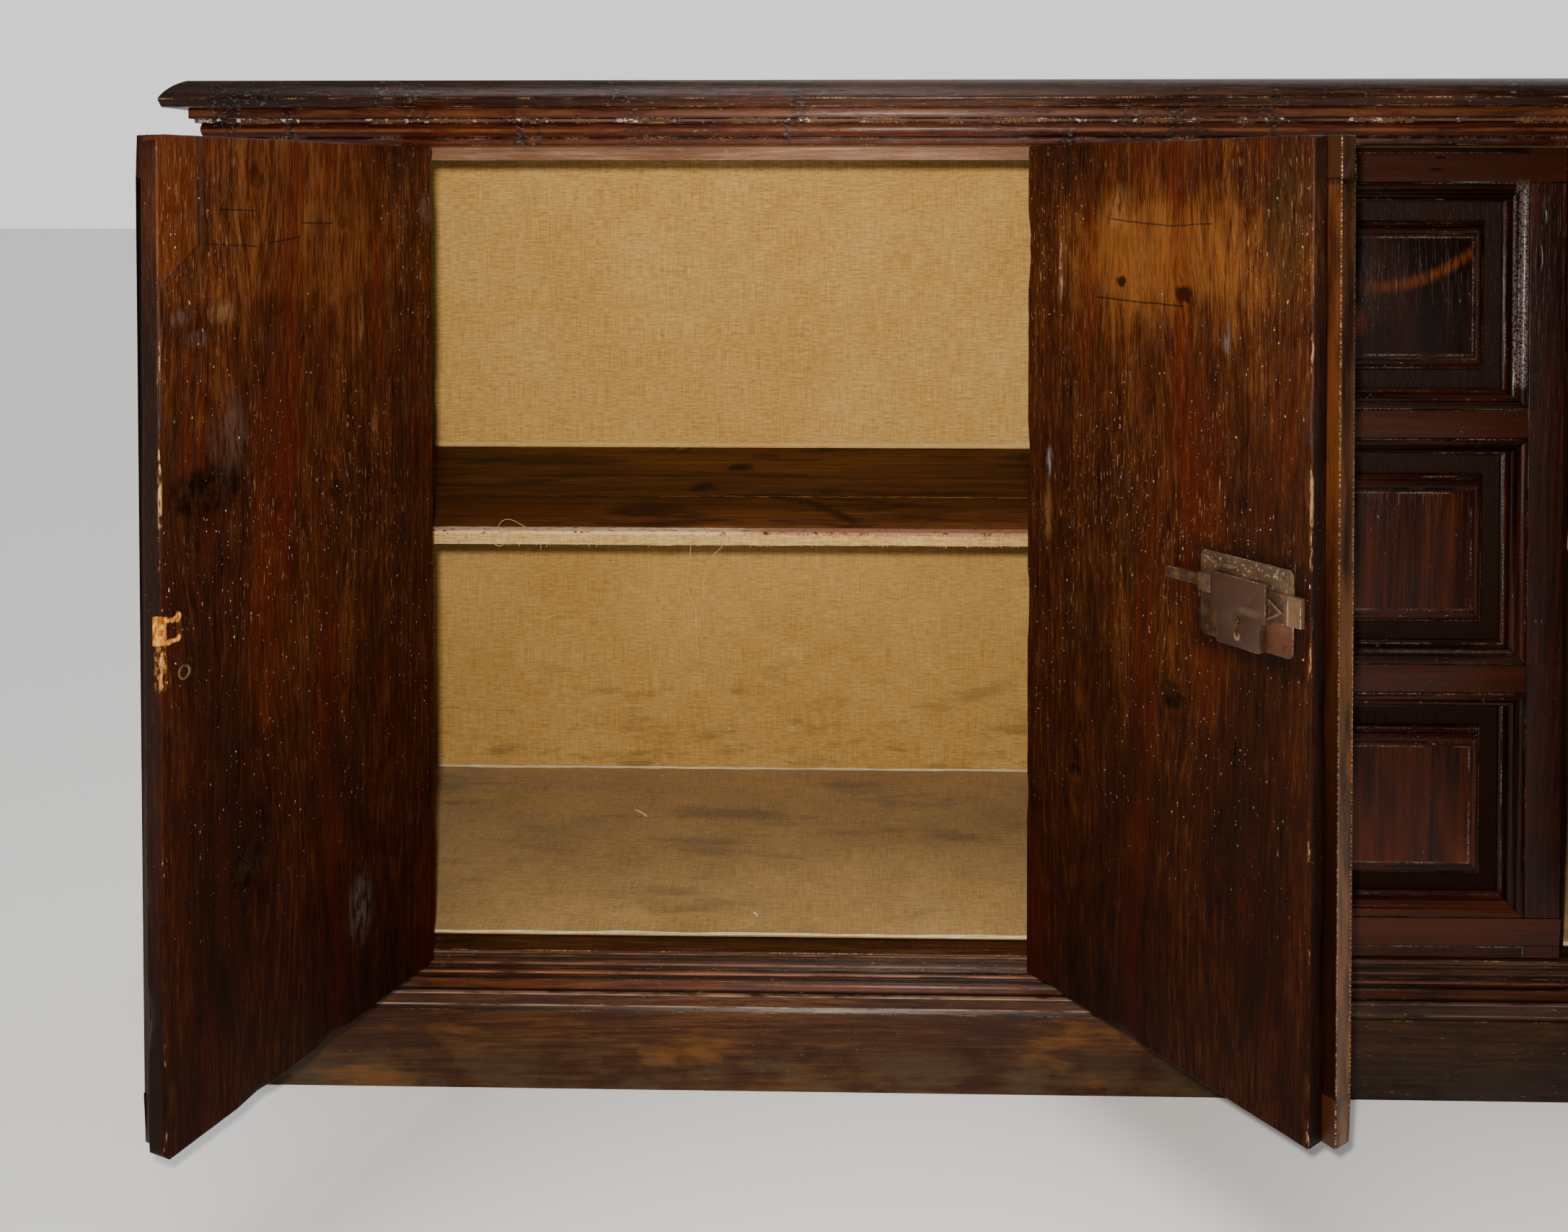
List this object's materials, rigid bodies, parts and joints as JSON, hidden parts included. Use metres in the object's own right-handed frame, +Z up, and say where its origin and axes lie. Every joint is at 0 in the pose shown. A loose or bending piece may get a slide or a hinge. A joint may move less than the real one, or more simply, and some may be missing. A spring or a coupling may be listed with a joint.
{
  "type": "credenza",
  "caption": "Antique walnut credenza with moulded panel doors in pairs, a cornice and plinth, cloth-lined shelves inside and sliding-bolt iron locks.",
  "frame": {"origin": "on the floor, under the middle of the carcass, on the underside of the plinth's middle bearer", "axes": "+X along the front to the right of someone facing the doors, +Y from the front to the back, +Z up"},
  "size_m": [2.029, 0.8557, 1.05],
  "materials": {
    "slab_walnut": "old polished walnut, dark red brown",
    "moulding_walnut": "waxed walnut moulding",
    "carcass_walnut": "worn dark walnut",
    "inner_wood": "unpolished aged wood",
    "door_inner_wood": "red brown door boards",
    "door_outer_wood": "dark waxed walnut",
    "back_pine": "rough softwood boards",
    "lining_cloth": "tan linen canvas",
    "floor_cloth": "stained linen canvas",
    "edging_cloth": "frayed linen strip",
    "lock_iron": "brown rusted wrought iron",
    "bolt_iron": "brown rusted wrought iron",
    "hinge_iron": "black wrought iron"
  },
  "bodies": {
    "carcass": {"side_left": "carcass_walnut", "side_right": "carcass_walnut", "centre_partition": "inner_wood", "base_rail": "carcass_walnut", "bottom_board": "inner_wood", "plinth_bearer": "back_pine", "top_rail": "carcass_walnut", "stile_left": "inner_wood", "stile_centre": "inner_wood", "stile_right": "inner_wood", "pilaster_left": "door_outer_wood", "pilaster_centre": "door_outer_wood", "pilaster_right": "door_outer_wood", "back_boards": "back_pine", "plinth_front": "carcass_walnut", "plinth_left": "carcass_walnut", "plinth_right": "carcass_walnut", "base_moulding_front": "moulding_walnut", "base_moulding_left": "moulding_walnut", "base_moulding_right": "moulding_walnut", "cornice_front": "moulding_walnut", "cornice_left": "moulding_walnut", "cornice_right": "moulding_walnut", "top_slab": "slab_walnut", "pilaster_panels": "door_outer_wood", "hinge_fixed_leaves": "hinge_iron", "hinge_pins": "hinge_iron", "shelf_left": "inner_wood", "shelf_right": "inner_wood", "shelf_cleats": "inner_wood", "shelf_edgings": "edging_cloth", "back_linings": "lining_cloth", "floor_linings": "floor_cloth"},
    "door_a": {"door_a_boards": "door_inner_wood", "door_a_frame": "door_outer_wood", "door_a_mouldings": "door_outer_wood", "door_a_panels": "door_outer_wood", "door_a_hinge_leaves": "hinge_iron"},
    "bolt_left": {"lock_left_bolt": "bolt_iron"},
    "door_b": {"door_b_boards": "door_inner_wood", "door_b_frame": "door_outer_wood", "door_b_mouldings": "door_outer_wood", "door_b_panels": "door_outer_wood", "door_b_hinge_leaves": "hinge_iron", "lock_left_plate": "lock_iron", "lock_left_spring": "lock_iron"},
    "door_c": {"door_c_boards": "door_inner_wood", "door_c_frame": "door_outer_wood", "door_c_mouldings": "door_outer_wood", "door_c_panels": "door_outer_wood", "door_c_hinge_leaves": "hinge_iron"},
    "bolt_right": {"lock_right_bolt": "bolt_iron"},
    "door_d": {"door_d_boards": "door_inner_wood", "door_d_frame": "door_outer_wood", "door_d_mouldings": "door_outer_wood", "door_d_panels": "door_outer_wood", "door_d_hinge_leaves": "hinge_iron", "lock_right_plate": "lock_iron", "lock_right_spring": "lock_iron"}
  },
  "joints": [
    {"name": "door_a_swing", "type": "hinge", "parent": "carcass", "child": "door_a", "pos_m": [-0.7865, -0.263, 0.5], "axis": [0, 0, -1], "range_deg": [-112, 53]},
    {"name": "door_b_swing", "type": "hinge", "parent": "carcass", "child": "door_b", "pos_m": [-0.0935, -0.263, 0.5], "axis": [0, 0, 1], "range_deg": [-126.5, 3.5]},
    {"name": "door_c_swing", "type": "hinge", "parent": "carcass", "child": "door_c", "pos_m": [0.0935, -0.263, 0.5], "axis": [0, 0, -1], "range_deg": [0, 80]},
    {"name": "door_d_swing", "type": "hinge", "parent": "carcass", "child": "door_d", "pos_m": [0.7865, -0.263, 0.5], "axis": [0, 0, 1], "range_deg": [-25, 140]},
    {"name": "bolt_left_slide", "type": "slide", "parent": "door_b", "child": "bolt_left", "axis": [0.5948, -0.8039, 0], "range_m": [0, 0.018]},
    {"name": "bolt_right_slide", "type": "slide", "parent": "door_d", "child": "bolt_right", "axis": [-0.9063, -0.4226, 0], "range_m": [0, 0.018]}
  ]
}
